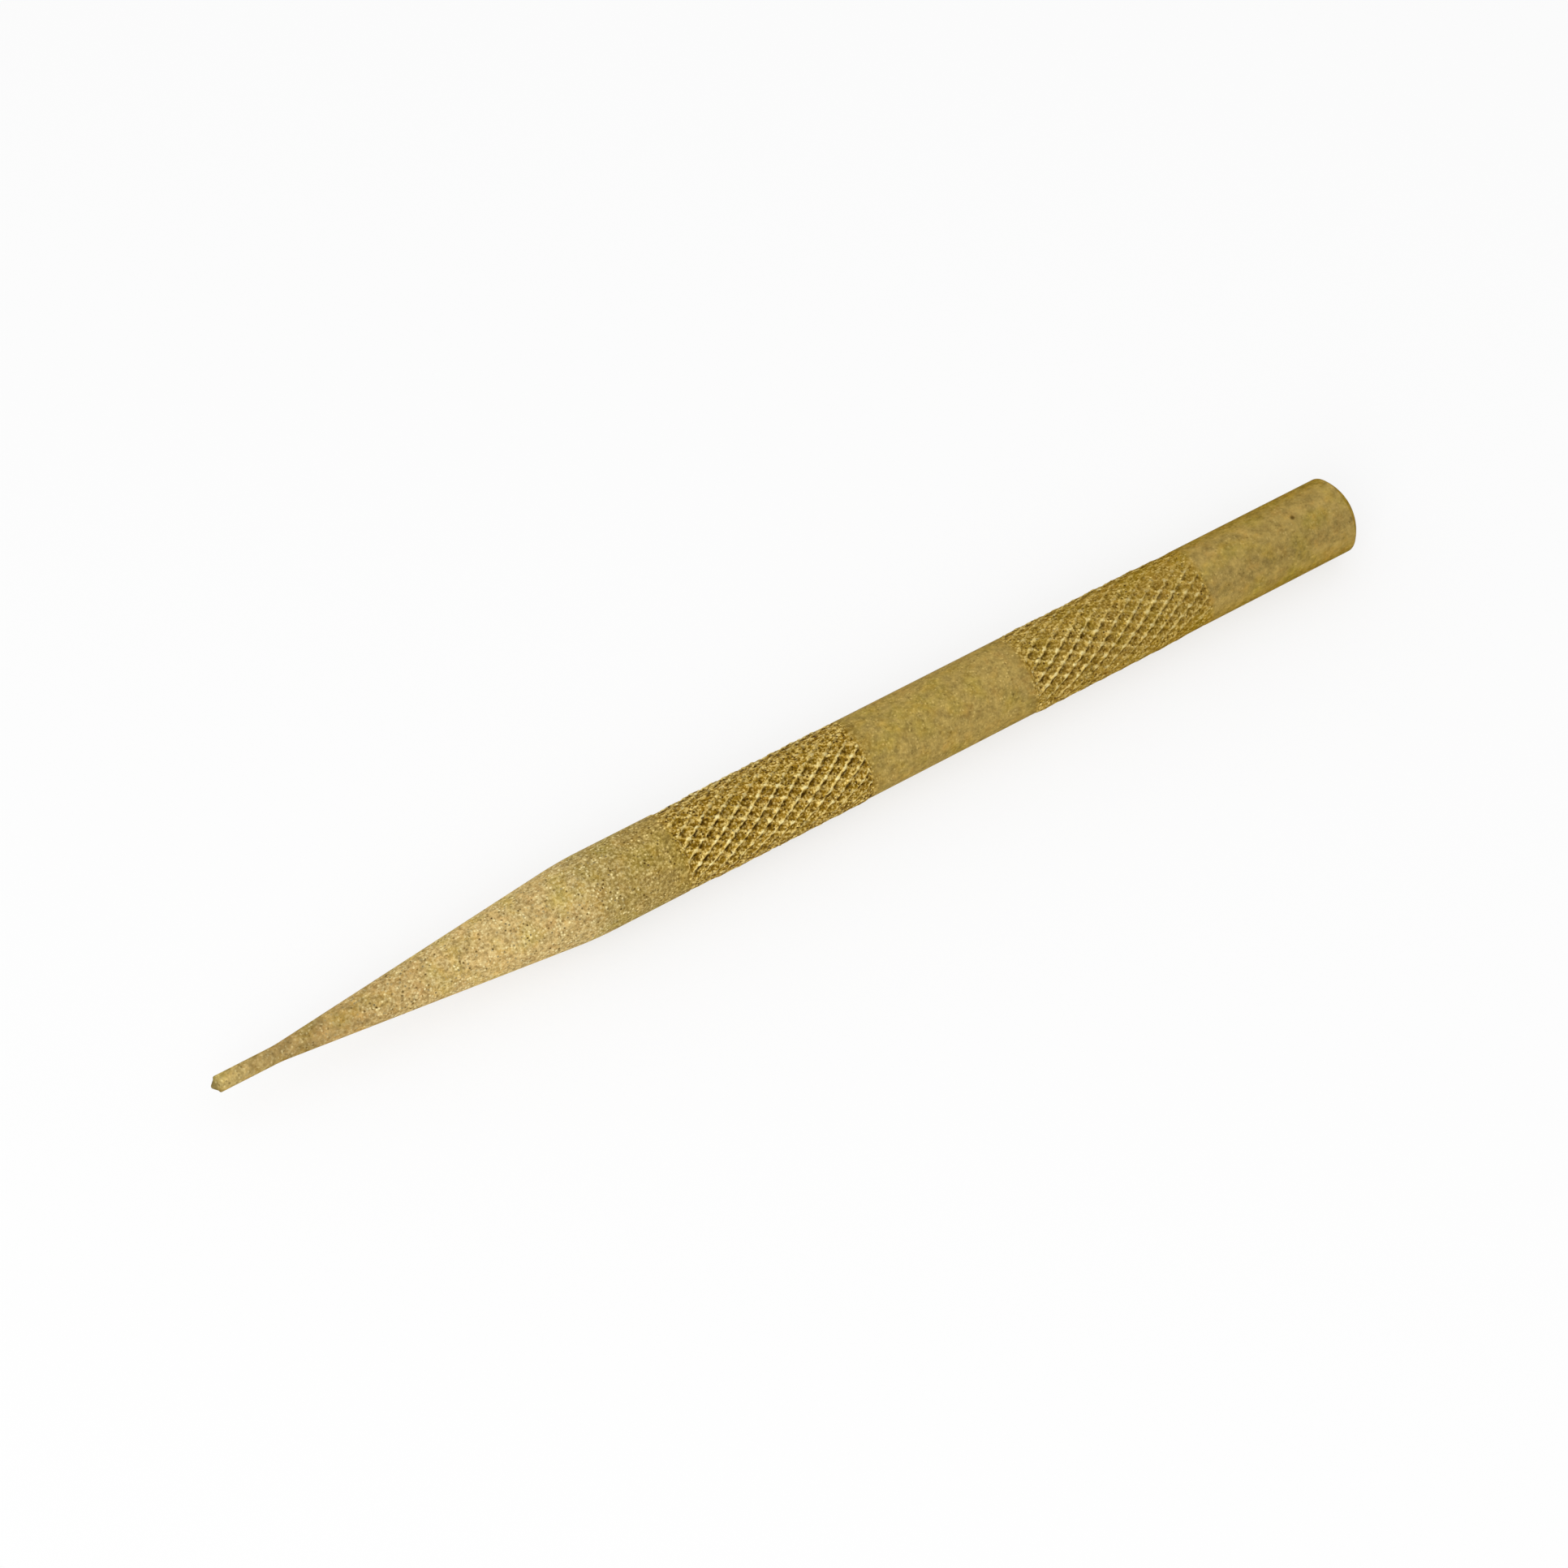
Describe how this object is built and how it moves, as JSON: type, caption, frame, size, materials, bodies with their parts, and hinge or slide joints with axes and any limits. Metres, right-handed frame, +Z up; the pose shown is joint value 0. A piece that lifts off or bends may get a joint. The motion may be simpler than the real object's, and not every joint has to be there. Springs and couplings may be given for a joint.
{
  "type": "pilot punch",
  "caption": "Solid brass hand punch with a nibbed slim pilot stem, long taper, diamond-knurled grip bands and a crowned striking head.",
  "frame": {"origin": "middle of the punch's length, on the surface that it lies on", "axes": "+X along the bar from the pilot nib to the crowned head, +Z up from the surface that the knurl crests rest on"},
  "size_m": [0.127, 0.0082, 0.0082],
  "materials": {
    "brass_bar": "turned, knurled and tumbled bare brass, lightly tarnished, with fine bright and dark specks"
  },
  "bodies": {
    "root": {"punch": "brass_bar"}
  },
  "joints": []
}
